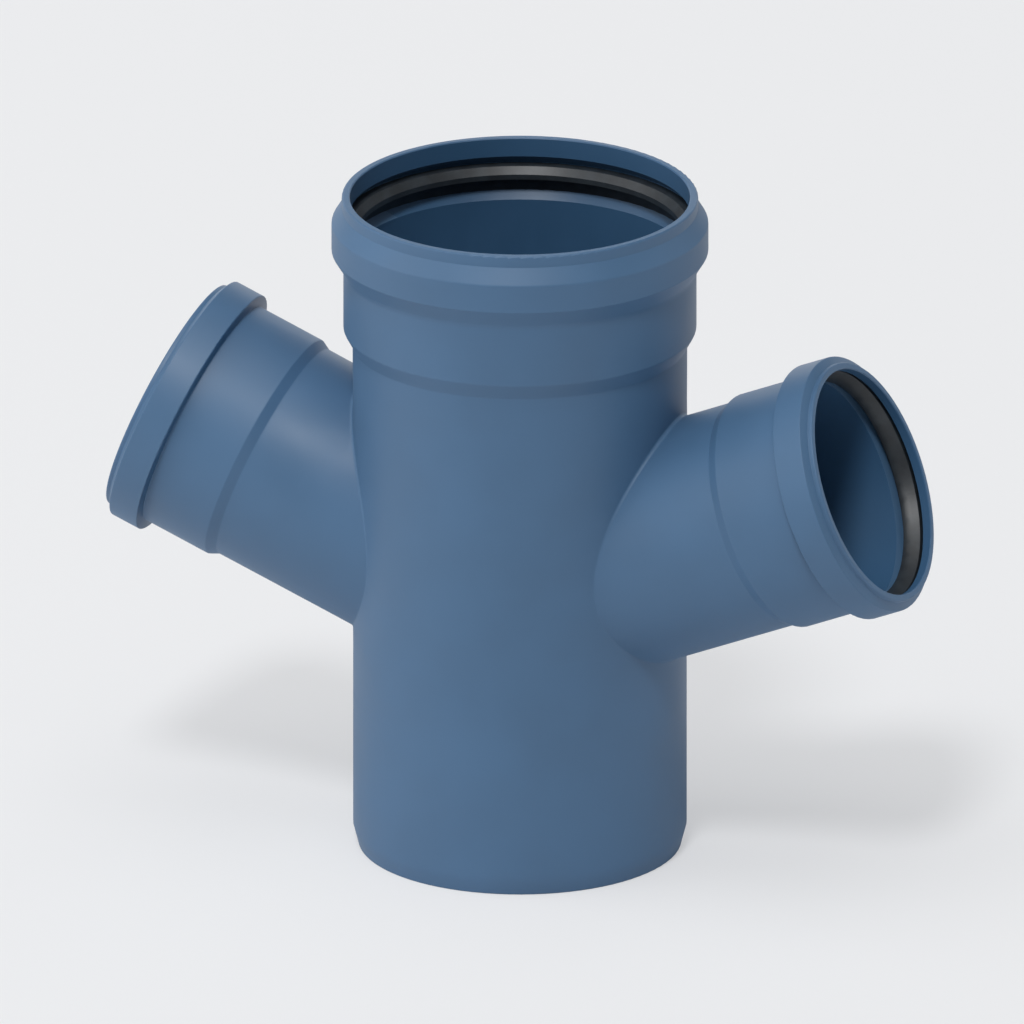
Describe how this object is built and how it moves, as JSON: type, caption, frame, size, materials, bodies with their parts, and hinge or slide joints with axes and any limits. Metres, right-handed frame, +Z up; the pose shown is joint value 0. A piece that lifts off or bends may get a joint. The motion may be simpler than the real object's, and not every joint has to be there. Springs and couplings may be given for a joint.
{
  "type": "double branch pipe fitting",
  "caption": "Straight drain pipe fitting with two opposite raised side branches, sockets with rubber lip seals on top and on both branches, and a plain spigot end below.",
  "frame": {"origin": "centre of the main pipe's spigot end, on the surface that the fitting stands on", "axes": "+Z up the main pipe towards its socket, +X towards the right branch, with the two branches in the XZ plane"},
  "size_m": [0.4052, 0.1806, 0.3284],
  "materials": {
    "body": "satin moulded polypropylene, slate blue",
    "seal": "matte black moulded rubber"
  },
  "bodies": {
    "root": {"branch_body": "body", "main_socket_seal": "seal", "right_socket_seal": "seal", "left_socket_seal": "seal"}
  },
  "joints": []
}
